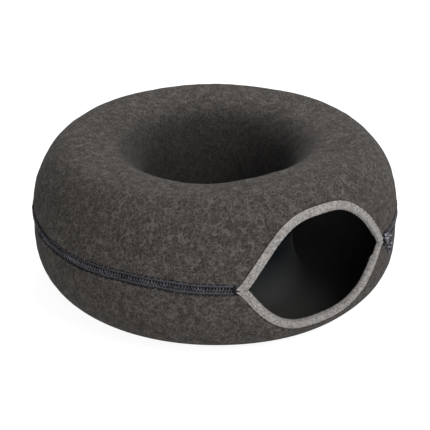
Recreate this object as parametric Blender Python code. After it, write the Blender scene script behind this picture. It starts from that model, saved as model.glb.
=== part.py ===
"""Felt ring tunnel for a cat: two formed felt half rings, zipped together round the outer waist.

The ring lies flat, +Z up. Its mouth looks along -Y, its well is open from top to bottom, and its
base rests on Z = 0. Angles run round the ring from the middle of the mouth, positive towards +X.
A place on the felt is given as its angle, its run (the way along the felt from the zip, up over the
crown or down under the base) and its depth behind the outer face. All sizes are in metres.
"""

import math

import bmesh
import bpy
from mathutils import Matrix, Vector

# The ring, over the felt.
RING_R = 0.250
CROWN_R = 0.192
WELL_R = 0.1025
FOOT_OUT_R = 0.160
FOOT_IN_R = 0.140
TOP_RISE = 0.0958
BASE_DROP = 0.113
SEAM_DROP = 0.030

# How full each quarter of the section is: 2 is an ellipse, and more is squarer.
BEND_TOP_OUT = 1.84
BEND_TOP_IN = 3.0
BEND_LOW_OUT = 2.95
BEND_LOW_IN = 3.0

# Where the bound mouth lifts the crown and its corners let the zip sag.
MOUTH_LIFT = 0.007
LIFT_REACH = math.radians(55)
SAG_LEFT = 0.0045
SAG_RIGHT = 0.0025
SAG_REACH = math.radians(40)
SAG_FADE = 0.050

# The felt.
FELT = 0.005
FELT_THIN = 0.0018
THIN_TO = 0.018
FULL_FROM = 0.022
FELT_CHAMFER = 0.0012
ZIP_HALF_GAP = 0.0066
GAP = 0.0003

# The mouth's cut edge and, outside it, the edge of its binding.
CUT_LEFT = math.radians(24.95)
CUT_RIGHT = math.radians(25.3)
CUT_UP = 0.0684
CUT_DOWN = 0.068
BOUND_LEFT = math.radians(28.1)
BOUND_RIGHT = math.radians(27.4)
BOUND_UP = 0.0764
BOUND_DOWN = 0.079
MOUTH_FULLNESS = 3.0
CORNER_POINT_UP = 1.18
CORNER_POINT_DOWN = 1.2
LEAN_UP = math.radians(1.0)
LEAN_DOWN = math.radians(-2.0)

# The binding.
BINDING = 0.0012
BINDING_GAP = 0.00045
BINDING_GAP_INSIDE = 0.0008
BINDING_STATIONS = 30
BINDING_TURN = math.radians(75)
THIN_TAPE_BACK = 0.0037

# The zip.
TAPE = 0.0010
TAPE_WIDE = 0.016
TAPE_DEPTH = 0.0022
TAPE_RAISED = 0.0010
TAPE_SPLIT = 0.0004
TAPE_PARTED = 0.0018
TAPE_END_LEFT = math.radians(25.6)
TAPE_END_RIGHT = math.radians(25.95)
COIL_HALF = 0.0030
COIL_PROUD = 0.0016
COIL_END = math.radians(28.5)
SLIDER_AT = math.radians(29.5)
SLIDER_HALF = 0.008
POST_BACK = 0.0032

# How finely the felt is divided.
MOUTH_ZONE = math.radians(36)
MOUTH_STEPS = 18
BACK_STEPS = 48
EDGE_ROWS = (0.0114, 0.0154, 0.0274)
UPPER_ROWS = 10
LOWER_OUT_ROWS = 5
LOWER_IN_ROWS = 5
LINE_STEPS = 240


def clear_scene():
    for thing in list(bpy.data.objects):
        bpy.data.objects.remove(thing, do_unlink=True)


def finish_of(name, colour, roughness, metallic=0.0):
    material = bpy.data.materials.new(name)
    material.use_nodes = True
    shader = material.node_tree.nodes["Principled BSDF"]
    shader.inputs["Base Color"].default_value = (*colour, 1.0)
    shader.inputs["Roughness"].default_value = roughness
    shader.inputs["Metallic"].default_value = metallic
    return material


def quarter(bend, first, last):
    """Points of a quarter superellipse with half axes of 1, from one angle in degrees to another."""
    points = []
    for step in range(LINE_STEPS + 1):
        angle = math.radians(first + (last - first) * step / LINE_STEPS)
        x = max(math.cos(angle), 0.0)
        y = max(math.sin(angle), 0.0)
        size = (x**bend + y**bend) ** (-1 / bend)
        points.append((x * size, y * size))
    return points


class Line:
    """Half of the ring's section as one line from the zip to the well's seam, measured by its run."""

    def __init__(self, points):
        self.points = points
        self.runs = [0.0]
        self.measure = [0.0]
        heading = None
        for (r0, z0, _), (r1, z1, _) in zip(points, points[1:]):
            length = math.hypot(r1 - r0, z1 - z0)
            now = math.atan2(z1 - z0, r1 - r0)
            turned = 0.0 if heading is None else abs((now - heading + math.pi) % math.tau - math.pi)
            heading = now
            self.runs.append(self.runs[-1] + length)
            self.measure.append(self.measure[-1] + turned + length / RING_R)
        self.long = self.runs[-1]

    @staticmethod
    def between(xs, ys, x):
        """The value of ys where xs reaches x, on the straight line between its neighbours."""
        low, high = 0, len(xs) - 1
        while high - low > 1:
            middle = (low + high) // 2
            if xs[middle] <= x:
                low = middle
            else:
                high = middle
        share = (x - xs[low]) / (xs[high] - xs[low])
        return ys[low] + (ys[high] - ys[low]) * share

    def at(self, run):
        """Distance from the ring's axis, height over the zip, and share of the crown's lift."""
        return [self.between(self.runs, [p[k] for p in self.points], run) for k in range(3)]

    def run_at_height(self, height):
        """The run at which the line first reaches this height over or under the zip."""
        for index, (_, z, _) in enumerate(self.points):
            if abs(z) >= height:
                z0 = abs(self.points[index - 1][1])
                share = (height - z0) / (abs(z) - z0)
                return self.runs[index - 1] + (self.runs[index] - self.runs[index - 1]) * share
        return self.long

    def even_rows(self, first, last, count):
        """Runs from first to last, closer together where the line bends more."""
        low = self.between(self.runs, self.measure, first)
        high = self.between(self.runs, self.measure, last)
        steps = [low + (high - low) * k / count for k in range(count + 1)]
        return [self.between(self.measure, self.runs, m) for m in steps]


def joined(*stretches):
    """One list of points from stretches that meet end to end."""
    points = list(stretches[0])
    for stretch in stretches[1:]:
        points += stretch[1:]
    return points


def section_lines():
    """The upper and lower lines, and the run on the lower one at which the flat of the base begins."""
    low_in = quarter(BEND_LOW_IN, 0, 90)
    low_in = [(FOOT_IN_R - (FOOT_IN_R - WELL_R) * x, -BASE_DROP * y, 0.0) for x, y in low_in]
    above = [p for p in low_in if p[1] >= -SEAM_DROP]
    below = [p for p in low_in if p[1] <= -SEAM_DROP]
    upper = joined(
        [(CROWN_R + (RING_R - CROWN_R) * x, TOP_RISE * y, y) for x, y in quarter(BEND_TOP_OUT, 0, 90)],
        [(CROWN_R - (CROWN_R - WELL_R) * x, TOP_RISE * y, y) for x, y in quarter(BEND_TOP_IN, 90, 0)],
        above,
    )
    outer = quarter(BEND_LOW_OUT, 0, 90)
    outer = [(FOOT_OUT_R + (RING_R - FOOT_OUT_R) * x, -BASE_DROP * y, 0.0) for x, y in outer]
    lower = joined(outer, [(FOOT_OUT_R, -BASE_DROP, 0.0), (FOOT_IN_R, -BASE_DROP, 0.0)], below[::-1])
    line = Line(lower)
    return Line(upper), line, line.runs[len(outer) - 1]


UPPER, LOWER, FOOT_RUN = section_lines()


def bump(angle, middle, reach):
    """A smooth hill of height 1 that falls to 0 at reach on both sides of middle."""
    away = abs((angle - middle + math.pi) % math.tau - math.pi)
    return math.cos(away / reach * math.pi / 2) ** 2 if away < reach else 0.0


def outer_face(line, angle, run):
    """The place on the felt's outer face."""
    radius, height, share = line.at(min(max(run, 0.0), line.long))
    sag_right = SAG_RIGHT * bump(angle, BOUND_RIGHT, SAG_REACH)
    sag_left = SAG_LEFT * bump(angle, -BOUND_LEFT, SAG_REACH)
    near_zip = math.exp(-((height / SAG_FADE) ** 2)) if radius > CROWN_R else 0.0
    height += MOUTH_LIFT * share * bump(angle, 0.0, LIFT_REACH) - max(sag_right, sag_left) * near_zip
    return Vector((radius * math.sin(angle), -radius * math.cos(angle), BASE_DROP + height))


def facing(line, angle, run):
    """The felt's outward direction."""
    side = 0.002
    along = outer_face(line, angle + side, run) - outer_face(line, angle - side, run)
    low = max(run - 0.0005, 0.0)
    high = min(run + 0.0005, line.long)
    up = outer_face(line, angle, high) - outer_face(line, angle, low)
    outward = along.cross(up) if line is UPPER else up.cross(along)
    return outward.normalized()


def place(line, angle, run, depth):
    """A place in or near the felt. A run under 0 is on the other side of the zip."""
    if run < 0:
        line = LOWER if line is UPPER else UPPER
        run = -run
    return outer_face(line, angle, run) - facing(line, angle, run) * depth


def mouth_run(line, angle, left, right, height):
    """Run of a mouth outline at this angle, or 0 beyond its left and right corners."""
    half = right if angle > 0 else left
    lean = LEAN_UP if line is UPPER else LEAN_DOWN
    point = CORNER_POINT_UP if line is UPPER else CORNER_POINT_DOWN
    across = abs(angle - lean * (1 - (angle / half) ** 2)) / half
    if abs(angle) >= half:
        return 0.0
    return line.run_at_height(height * (1 - across**MOUTH_FULLNESS) ** point)


def cut_run(line, angle):
    """Run of the felt's edge: the mouth's cut, or the edge along the zip."""
    height = CUT_UP if line is UPPER else CUT_DOWN
    away = (angle + math.pi) % math.tau - math.pi
    return max(ZIP_HALF_GAP, mouth_run(line, away, CUT_LEFT, CUT_RIGHT, height))


def thickness(run):
    """The felt is pressed thin along the zip, where the tape is sewn behind it."""
    share = min(max((run - THIN_TO) / (FULL_FROM - THIN_TO), 0.0), 1.0)
    return FELT_THIN + (FELT - FELT_THIN) * share


def ring_angles():
    """Angles of the felt's columns, close together at the mouth."""
    angles = [MOUTH_ZONE * step / MOUTH_STEPS for step in range(-MOUTH_STEPS, MOUTH_STEPS + 1)]
    back = math.tau - 2 * MOUTH_ZONE
    return angles + [MOUTH_ZONE + back * step / BACK_STEPS for step in range(1, BACK_STEPS)]


def zip_angles(first, last):
    """The felt's own columns from first to last, going round the back, and both ends."""
    inside = [angle % math.tau for angle in ring_angles()]
    return [first] + sorted(a for a in inside if first + 0.003 < a < last - 0.003) + [last]


def tube_mesh(name, rings, closed):
    """A mesh through rings of as many points each: a closed loop of rings, or capped at both ends."""
    shape = bmesh.new()
    rows = [[shape.verts.new(point) for point in ring] for ring in rings]
    pairs = list(zip(rows, rows[1:]))
    if closed:
        pairs.append((rows[-1], rows[0]))
    for first, second in pairs:
        for k in range(len(first)):
            after = (k + 1) % len(first)
            shape.faces.new((first[k], first[after], second[after], second[k]))
    if not closed:
        shape.faces.new(rows[0][::-1])
        shape.faces.new(rows[-1])
    bmesh.ops.recalc_face_normals(shape, faces=shape.faces)
    mesh = bpy.data.meshes.new(name)
    shape.to_mesh(mesh)
    shape.free()
    mesh.shade_smooth()
    mesh.set_sharp_from_angle(angle=math.radians(40))
    return mesh


def add_object(name, mesh, material, parent):
    thing = bpy.data.objects.new(name, mesh)
    thing.data.materials.append(material)
    thing.parent = parent
    bpy.context.scene.collection.objects.link(thing)
    return thing


def shell_rows(line, edge):
    """Runs of the felt's rows from its edge to the well's seam."""
    rows = [edge + FELT_CHAMFER] + [edge + step for step in EDGE_ROWS]
    end = line.long - GAP / 2
    if line is UPPER:
        return rows[:-1] + line.even_rows(rows[-1], end, UPPER_ROWS)
    foot_end = FOOT_RUN + FOOT_OUT_R - FOOT_IN_R
    outer = line.even_rows(rows[-1], FOOT_RUN, LOWER_OUT_ROWS)
    return rows[:-1] + outer + line.even_rows(foot_end, end, LOWER_IN_ROWS)


def felt_shell(name, line, material, parent):
    """One felt half: the section's outer and inner faces, carried round the ring."""
    rings = []
    for angle in ring_angles():
        edge = cut_run(line, angle)
        rows = shell_rows(line, edge)
        outer = [place(line, angle, run, 0.0) for run in rows]
        inner = [place(line, angle, run, thickness(run)) for run in rows]
        thick = thickness(edge)
        chamfer = min(FELT_CHAMFER, thick / 3)
        rim = [place(line, angle, edge, depth) for depth in (chamfer, thick - chamfer)]
        rings.append(outer[::-1] + rim + inner)
    return add_object(name, tube_mesh(name, rings, True), material, parent)


def tape_section(side, split):
    """Run and depth of the tape's corners: raised at the coil, then behind the felt."""
    corners = (
        (split, TAPE_RAISED),
        (COIL_HALF, TAPE_RAISED),
        (ZIP_HALF_GAP - 0.0012, TAPE_DEPTH),
        (TAPE_WIDE, TAPE_DEPTH),
        (TAPE_WIDE, TAPE_DEPTH + TAPE),
        (ZIP_HALF_GAP - 0.0015, TAPE_DEPTH + TAPE),
        (COIL_HALF - 0.0002, TAPE_RAISED + TAPE),
        (split, TAPE_RAISED + TAPE),
    )
    return [(side * run, depth) for run, depth in corners]


def zip_tape(name, side, material, parent):
    """One tape, from one mouth corner round the back to the other. It parts at the slider."""
    rings = []
    parting = SLIDER_AT - POST_BACK / RING_R
    stations = zip_angles(TAPE_END_RIGHT, math.tau - TAPE_END_LEFT)
    for angle in sorted(stations + [parting - 0.004, parting + 0.004]):
        split = TAPE_PARTED if angle < parting else TAPE_SPLIT
        rings.append([place(UPPER, angle, run, depth) for run, depth in tape_section(side, split)])
    return add_object(name, tube_mesh(name, rings, False), material, parent)


def zip_coil(material, parent):
    """The two closed coils as one strip, from the slider round to the mouth's left corner."""
    corners = (
        (-COIL_HALF, TAPE_RAISED - GAP),
        (-COIL_HALF, -0.0002),
        (-COIL_HALF * 0.75, -COIL_PROUD * 0.75),
        (-COIL_HALF * 0.3, -COIL_PROUD),
        (COIL_HALF * 0.3, -COIL_PROUD),
        (COIL_HALF * 0.75, -COIL_PROUD * 0.75),
        (COIL_HALF, -0.0002),
        (COIL_HALF, TAPE_RAISED - GAP),
    )
    start = SLIDER_AT - (POST_BACK - 0.0006) / RING_R
    rings = []
    for angle in zip_angles(start, math.tau - COIL_END):
        rings.append([place(UPPER, angle, run, depth) for run, depth in corners])
    return add_object("zip_coil", tube_mesh("zip_coil", rings, False), material, parent)


def binding_section(felt):
    """The folded tape's corners, as steps from the felt's cut edge and depths behind its outer face.

    The first number is 1 at the leg's end and 0 near the cut; the step is in metres from there.
    """
    chamfer = FELT_CHAMFER
    near = BINDING_GAP_INSIDE
    fold = near + BINDING
    face = BINDING_GAP + BINDING
    within = [(1, 0.0, -BINDING_GAP), (0, chamfer, -BINDING_GAP), (0, -near, chamfer)]
    around = [(1, 0.0, -face), (0, 0.7 * chamfer, -face)]
    around += [(0, -0.6 * fold, -0.45 * face), (0, -fold, 0.7 * chamfer)]
    back = max(felt + BINDING_GAP_INSIDE, THIN_TAPE_BACK) - BINDING_GAP
    behind_within = [(whole, step, back - depth) for whole, step, depth in reversed(within)]
    behind_around = [(whole, step, back - depth) for whole, step, depth in around]
    return within + behind_within + behind_around + around[::-1]


def mouth_binding(name, line, material, parent):
    """Tape folded over the mouth's cut edge, from corner to corner, mitred along the zip."""
    cut_height = CUT_UP if line is UPPER else CUT_DOWN
    bound_height = BOUND_UP if line is UPPER else BOUND_DOWN
    rings = []
    for station in range(BINDING_STATIONS + 1):
        turn = BINDING_TURN * (2 * station / BINDING_STATIONS - 1)
        across = math.sin(turn) / math.sin(BINDING_TURN)
        cut_angle = across * (CUT_RIGHT if across > 0 else CUT_LEFT)
        bound_angle = across * (BOUND_RIGHT if across > 0 else BOUND_LEFT)
        cut = mouth_run(line, cut_angle, CUT_LEFT, CUT_RIGHT, cut_height)
        bound = mouth_run(line, bound_angle, BOUND_LEFT, BOUND_RIGHT, bound_height)
        away = Vector(((bound_angle - cut_angle) * RING_R, bound - cut))
        wide = away.length
        ring = []
        for whole, step, depth in binding_section(thickness(bound + FELT)):
            share = whole + step / wide
            angle = cut_angle + (bound_angle - cut_angle) * share
            run = max(cut + (bound - cut) * share, GAP / 2)
            ring.append(place(line, angle, run, depth))
        rings.append(ring)
    return add_object(name, tube_mesh(name, rings, False), material, parent)


def prism(outline, low, high):
    """A bmesh of a flat outline in X and Y, from one Z to another."""
    shape = bmesh.new()
    bottom = [shape.verts.new((x, y, low)) for x, y in outline]
    top = [shape.verts.new((x, y, high)) for x, y in outline]
    for k in range(len(outline)):
        after = (k + 1) % len(outline)
        shape.faces.new((bottom[k], bottom[after], top[after], top[k]))
    shape.faces.new(bottom[::-1])
    shape.faces.new(top)
    bmesh.ops.recalc_face_normals(shape, faces=shape.faces)
    return shape


def helper(name, shape, parent):
    """A shape that only cuts or joins."""
    mesh = bpy.data.meshes.new(name)
    shape.to_mesh(mesh)
    shape.free()
    thing = bpy.data.objects.new(name, mesh)
    thing.hide_render = True
    thing.display_type = "WIRE"
    thing.parent = parent
    bpy.context.scene.collection.objects.link(thing)
    return thing


def combine(thing, other, operation):
    step = thing.modifiers.new(other.name, "BOOLEAN")
    step.operation = operation
    step.solver = "EXACT"
    step.object = other


def box_outline(x0, x1, y0, y1):
    return [(x0, y0), (x1, y0), (x1, y1), (x0, y1)]


def slider_outline(wide, narrow):
    """A shield: wide at the mouth's side, where the coils part, and narrow where they are closed."""
    shoulder = SLIDER_HALF * 0.4
    nose = SLIDER_HALF * 0.85
    upper = [
        (-nose, wide * 0.8),
        (-shoulder, wide),
        (shoulder, narrow * 1.12),
        (nose, narrow),
        (SLIDER_HALF, narrow * 0.7),
    ]
    lower = [(x, -y) for x, y in reversed(upper)]
    return [(-SLIDER_HALF, wide * 0.4)] + upper + lower + [(-SLIDER_HALF, -wide * 0.4)]


# The slider, in its own frame: X along the zip away from the mouth, Y up, Z out of the felt.
PLATE_LOW = COIL_PROUD + 0.0005
PLATE_HIGH = PLATE_LOW + 0.0011
FLANGE_LOW = -TAPE_RAISED + 0.0005
BACK_HIGH = -(TAPE_DEPTH + TAPE) - 0.0004
BACK_LOW = BACK_HIGH - 0.0010
LUG_OPEN = PLATE_HIGH + 0.0024
LUG_TOP = LUG_OPEN + 0.0010
LUG_HALF = 0.0046
LUG_LEG = 0.0012
LUG_WIDE = 0.0010

# The pull hangs from the lug's bar, across the zip, and stands edge on to the felt.
PULL = 0.0016
PULL_CLEAR = 0.0003
EYE_RIM = 0.0014
PULL_IN = PLATE_HIGH + PULL_CLEAR
PULL_OUT = LUG_TOP + PULL_CLEAR + EYE_RIM
PULL_TOP = LUG_WIDE + PULL_CLEAR + EYE_RIM
PULL_FOOT = -0.0200


def slider_frame(parent):
    """An empty at the slider's place on the zip, turned to the slider's own frame."""
    out = facing(UPPER, SLIDER_AT, 0.0)
    along = Vector((math.cos(SLIDER_AT), math.sin(SLIDER_AT), 0.0))
    up = out.cross(along).normalized()
    along = up.cross(out)
    frame = bpy.data.objects.new("slider_place", None)
    turn = Matrix((along, up, out)).transposed()
    frame.location = place(UPPER, SLIDER_AT, 0.0, 0.0)
    frame.rotation_euler = turn.to_euler()
    frame.parent = parent
    bpy.context.scene.collection.objects.link(frame)
    return frame


def zip_slider(material, frame):
    """Cover, post, back plate and lug, joined into one piece."""
    cover = prism(slider_outline(0.0056, 0.0046), FLANGE_LOW, PLATE_HIGH)
    mesh = bpy.data.meshes.new("zip_slider")
    cover.to_mesh(mesh)
    cover.free()
    slider = add_object("zip_slider", mesh, material, frame)
    long = SLIDER_HALF * 1.5
    channel = prism(box_outline(-long, long, -0.0037, 0.0037), FLANGE_LOW - 0.001, PLATE_LOW)
    post = prism(box_outline(-0.0066, -POST_BACK, -0.0011, 0.0011), BACK_LOW + 0.0004, PLATE_HIGH - 0.0004)
    back = prism(slider_outline(0.0046, 0.0036), BACK_LOW, BACK_HIGH)
    lug = prism(box_outline(-LUG_HALF, LUG_HALF, -LUG_WIDE, LUG_WIDE), PLATE_HIGH - 0.0004, LUG_TOP)
    eye_half = LUG_HALF - LUG_LEG
    eye = prism(box_outline(-eye_half, eye_half, -0.003, 0.003), PLATE_HIGH, LUG_OPEN)
    combine(slider, helper("slider_channel", channel, frame), "DIFFERENCE")
    combine(slider, helper("slider_post", post, frame), "UNION")
    combine(slider, helper("slider_back", back, frame), "UNION")
    lug_part = helper("slider_lug", lug, frame)
    combine(lug_part, helper("slider_eye", eye, frame), "DIFFERENCE")
    combine(slider, lug_part, "UNION")
    return slider


def edge_on(shape):
    """Turns a prism drawn in X and Y so that it stands on the zip: drawn X becomes Z, and Z becomes X."""
    turn = Matrix(((0, 0, -1), (0, 1, 0), (1, 0, 0)))
    bmesh.ops.transform(shape, matrix=turn.to_4x4(), verts=shape.verts)
    return shape


def zip_pull(material, frame):
    """A tapered open plate whose eye goes round the lug's bar."""
    outline = [
        (PULL_IN, PULL_TOP - 0.0008),
        (PULL_IN + 0.0008, PULL_TOP),
        (PULL_OUT - 0.0008, PULL_TOP),
        (PULL_OUT, PULL_TOP - 0.0008),
        (PULL_OUT + 0.0014, -0.0060),
        (PULL_OUT + 0.0014, -0.0085),
        (PULL_OUT - 0.0008, PULL_FOOT + 0.0010),
        (PULL_OUT - 0.0018, PULL_FOOT),
        (PULL_OUT - 0.0044, PULL_FOOT),
        (PULL_OUT - 0.0054, PULL_FOOT + 0.0010),
        (0.0010, -0.0085),
        (PULL_IN, -0.0062),
    ]
    half = PULL / 2
    plate = edge_on(prism(outline[::-1], -half, half))
    mesh = bpy.data.meshes.new("zip_pull")
    plate.to_mesh(mesh)
    plate.free()
    pull = add_object("zip_pull", mesh, material, frame)
    through = PULL * 2
    eye = box_outline(PULL_IN + EYE_RIM, LUG_TOP + PULL_CLEAR, -0.0035, LUG_WIDE + PULL_CLEAR)
    window = [(0.0046, -0.0125), (0.0066, -0.0125), (0.0082, -0.0060), (0.0046, -0.0060), (0.0034, -0.0085)]
    combine(pull, helper("pull_eye", edge_on(prism(eye, -through, through)), frame), "DIFFERENCE")
    combine(pull, helper("pull_window", edge_on(prism(window, -through, through)), frame), "DIFFERENCE")
    return pull


def centre_on_origin(ring):
    """The mouth takes away the foremost felt, so the ring moves until its box is centred on Y = 0."""
    bpy.context.view_layer.update()
    sides = []
    for thing in bpy.data.objects:
        if thing.type == "MESH" and not thing.hide_render:
            sides += [(thing.matrix_world @ vertex.co).y for vertex in thing.data.vertices]
    ring.location.y = -(min(sides) + max(sides)) / 2


def build_tunnel():
    felt = finish_of("felt_charcoal", (0.075, 0.068, 0.062), 0.95)
    tape = finish_of("zip_tape", (0.030, 0.030, 0.036), 0.85)
    nylon = finish_of("zip_nylon", (0.030, 0.031, 0.040), 0.40)
    metal = finish_of("slider_metal", (0.22, 0.22, 0.25), 0.35, 0.9)
    binding = finish_of("binding_grey", (0.37, 0.35, 0.33), 0.85)
    ring = bpy.data.objects.new("ring_axis", None)
    bpy.context.scene.collection.objects.link(ring)
    felt_shell("upper_shell", UPPER, felt, ring)
    felt_shell("lower_shell", LOWER, felt, ring)
    zip_tape("zip_tape_upper", 1, tape, ring)
    zip_tape("zip_tape_lower", -1, tape, ring)
    zip_coil(nylon, ring)
    frame = slider_frame(ring)
    zip_slider(metal, frame)
    zip_pull(metal, frame)
    mouth_binding("mouth_binding_upper", UPPER, binding, ring)
    mouth_binding("mouth_binding_lower", LOWER, binding, ring)
    centre_on_origin(ring)


clear_scene()
build_tunnel()
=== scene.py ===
"""A cat's ring tunnel in charcoal felt, with a zip round its waist and a bound, lens-shaped mouth.

The ring lies on the floor with +Z up, and its mouth looks along -Y. Angles run round the ring from the
middle of the mouth, positive towards +X. A place on the felt is its angle, its run (the way along the
felt from the zip, over the crown or under the base) and its depth behind the outer face. Sizes are in
metres.
"""

import math

import bpy
import numpy as np
from mathutils import Matrix, Vector


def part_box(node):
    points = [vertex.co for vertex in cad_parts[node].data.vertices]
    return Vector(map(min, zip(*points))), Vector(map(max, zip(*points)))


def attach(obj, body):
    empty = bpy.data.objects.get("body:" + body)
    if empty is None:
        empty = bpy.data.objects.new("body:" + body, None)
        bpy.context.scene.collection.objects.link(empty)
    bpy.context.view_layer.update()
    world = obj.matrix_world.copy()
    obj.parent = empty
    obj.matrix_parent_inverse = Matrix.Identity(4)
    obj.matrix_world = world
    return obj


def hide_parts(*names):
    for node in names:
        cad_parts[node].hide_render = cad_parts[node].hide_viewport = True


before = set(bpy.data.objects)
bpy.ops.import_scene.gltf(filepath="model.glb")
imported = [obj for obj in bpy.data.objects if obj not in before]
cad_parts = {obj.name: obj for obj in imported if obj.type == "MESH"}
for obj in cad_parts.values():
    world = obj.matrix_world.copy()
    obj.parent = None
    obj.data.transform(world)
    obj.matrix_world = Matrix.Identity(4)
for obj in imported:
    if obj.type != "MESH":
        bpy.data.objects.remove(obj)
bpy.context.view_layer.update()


# The two felt halves. Each is one sheet of 5 mm polyester felt, pressed hot over a mould into half a
# ring. The mouth is cut out of its front, and its outer edge is pressed thin where the zip is sewn in.

RING_R = 0.250
CROWN_R = 0.192
WELL_R = 0.1025
FOOT_OUT_R = 0.160
FOOT_IN_R = 0.140
TOP_RISE = 0.0961
BASE_DROP = 0.113
SEAM_DROP = 0.030
BEND_TOP_OUT = 1.84
BEND_TOP_IN = 3.0
BEND_LOW_OUT = 2.95
BEND_LOW_IN = 3.0
BEND_STEPS = 241
# The crown's lifts over the mouth and at the back: middle and reach in degrees, and rise.
LIFTS = ((0.0, 55.0, 0.007), (174.0, 38.0, 0.0009))
SAG_LEFT = 0.0045
SAG_RIGHT = 0.0006
SAG_REACH = math.radians(40)
SAG_FADE = 0.050
# How the zip's line rises and falls: middle and reach in degrees, and rise.
ZIP_WAVES = (
    (-50.0, 28.0, 0.0018),
    (-88.0, 30.0, -0.0024),
    (75.0, 40.0, -0.0012),
    (150.0, 50.0, 0.0015),
)
CUT_LEFT = math.radians(25.45)
CUT_RIGHT = math.radians(25.5)
CUT_UP = 0.0685
CUT_DOWN = 0.0693
BOUND_LEFT = math.radians(28.5)
BOUND_RIGHT = math.radians(27.4)
BOUND_UP = 0.0760
BOUND_DOWN = 0.0769
MOUTH_FULLNESS = 3.0
# The wall's soft bulges: middle and reach in degrees, level over the zip, half height, and how far out.
BULGES = (
    (46.0, 40.0, -0.072, 0.050, 0.0028),
    (-2.0, 34.0, -0.104, 0.045, 0.0021),
    (-124.0, 55.0, -0.056, 0.056, 0.0018),
    (-124.0, 50.0, 0.038, 0.040, 0.0013),
    (62.0, 38.0, 0.0, 0.018, -0.0007),
    (60.0, 45.0, 0.045, 0.045, 0.0006),
)
BULGE_FADE = 0.020
# Unevenness: how high, its random seed, and its shortest and longest waves.
DENTS = (0.00032, 11, 0.075, 0.190)
LUMPS = (0.00016, 12, 0.016, 0.040)
PUCKERS = (0.00040, 13, 0.014, 0.034)
PUCKERS_FADE = 0.009
SMOOTH_TO = 0.004
SMOOTH_FADE = 0.040
WELL_SEAM_DEEP = 0.0012
WELL_SEAM_FADE = 0.0035
HAND_CUT = 0.00022
HAND_CUT_WAVES = (0.012, 0.060)
ZIP_HALF_GAP = 0.0068
SPREAD_DOWN = 0.0048
SPREAD_AT = math.radians(28)
SPREAD_REACH = math.radians(9)
SEAM_HALF_GAP = 0.00015
FELT = 0.005
FELT_THIN = 0.0018
THIN_TO = 0.018
FULL_FROM = 0.022
COIL_PROUD = 0.0016

ring_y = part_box("zip_coil")[1].y - RING_R - COIL_PROUD


def quarter_bend(bend, first, last):
    """A quarter of a superellipse with half axes of 1, from one angle in degrees to another."""
    turn = np.radians(np.linspace(first, last, BEND_STEPS))
    x = np.clip(np.cos(turn), 0, None)
    y = np.clip(np.sin(turn), 0, None)
    size = (x**bend + y**bend) ** (-1 / bend)
    return x * size, y * size


def felt_line(stretches, lean, point, cut_point):
    """Half of the ring's section, from the zip to the well's seam, with the run measured along it."""
    radius, height, crown = (np.concatenate(parts) for parts in zip(*stretches))
    run = np.concatenate(([0.0], np.cumsum(np.hypot(np.diff(radius), np.diff(height)))))
    side = {"rise": np.abs(height[:BEND_STEPS]), "rise_run": run[:BEND_STEPS]}
    shape = {"radius": radius, "height": height, "crown": crown, "run": run, "long": run[-1]}
    return {**side, **shape, "lean": math.radians(lean), "point": point, "cut_point": cut_point}


top_x, top_y = quarter_bend(BEND_TOP_OUT, 0, 90)
in_x, in_y = quarter_bend(BEND_TOP_IN, 90, 0)
out_x, out_y = quarter_bend(BEND_LOW_OUT, 0, 90)
low_x, low_y = quarter_bend(BEND_LOW_IN, 90, 0)
above = BASE_DROP * low_y <= SEAM_DROP
below = BASE_DROP * low_y >= SEAM_DROP
well_radius = FOOT_IN_R - (FOOT_IN_R - WELL_R) * low_x
upper = felt_line(
    (
        (CROWN_R + (RING_R - CROWN_R) * top_x, TOP_RISE * top_y, top_y),
        (CROWN_R - (CROWN_R - WELL_R) * in_x, TOP_RISE * in_y, in_y),
        (well_radius[above][::-1], -BASE_DROP * low_y[above][::-1], 0 * low_y[above]),
    ),
    lean=1.0,
    point=1.17,
    cut_point=1.20,
)
lower = felt_line(
    (
        (FOOT_OUT_R + (RING_R - FOOT_OUT_R) * out_x, -BASE_DROP * out_y, 0 * out_y),
        (well_radius[below], -BASE_DROP * low_y[below], 0 * low_y[below]),
    ),
    lean=-1.0,
    point=1.30,
    cut_point=1.25,
)
upper["other"] = lower
lower["other"] = upper


def hill(angle, middle, reach):
    """A smooth hill of height 1 that falls to 0 at reach on both sides of middle."""
    away = np.abs((angle - middle + math.pi) % math.tau - math.pi)
    return np.where(away < reach, np.cos(np.minimum(away / reach, 1) * math.pi / 2) ** 2, 0.0)


def waves(points, seed, shortest, longest, count=24):
    """A smooth random unevenness of size about 1, made of waves between these lengths."""
    chance = np.random.default_rng(seed)
    ways = chance.normal(size=(count, 3))
    ways /= np.linalg.norm(ways, axis=1, keepdims=True)
    lengths = np.exp(chance.uniform(math.log(shortest), math.log(longest), count))
    starts = chance.uniform(0, math.tau, count)
    total = 0.0
    for way, length, start in zip(ways, lengths, starts):
        total = total + np.sin(points @ way * math.tau / length + start)
    return total / math.sqrt(count / 2)


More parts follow.
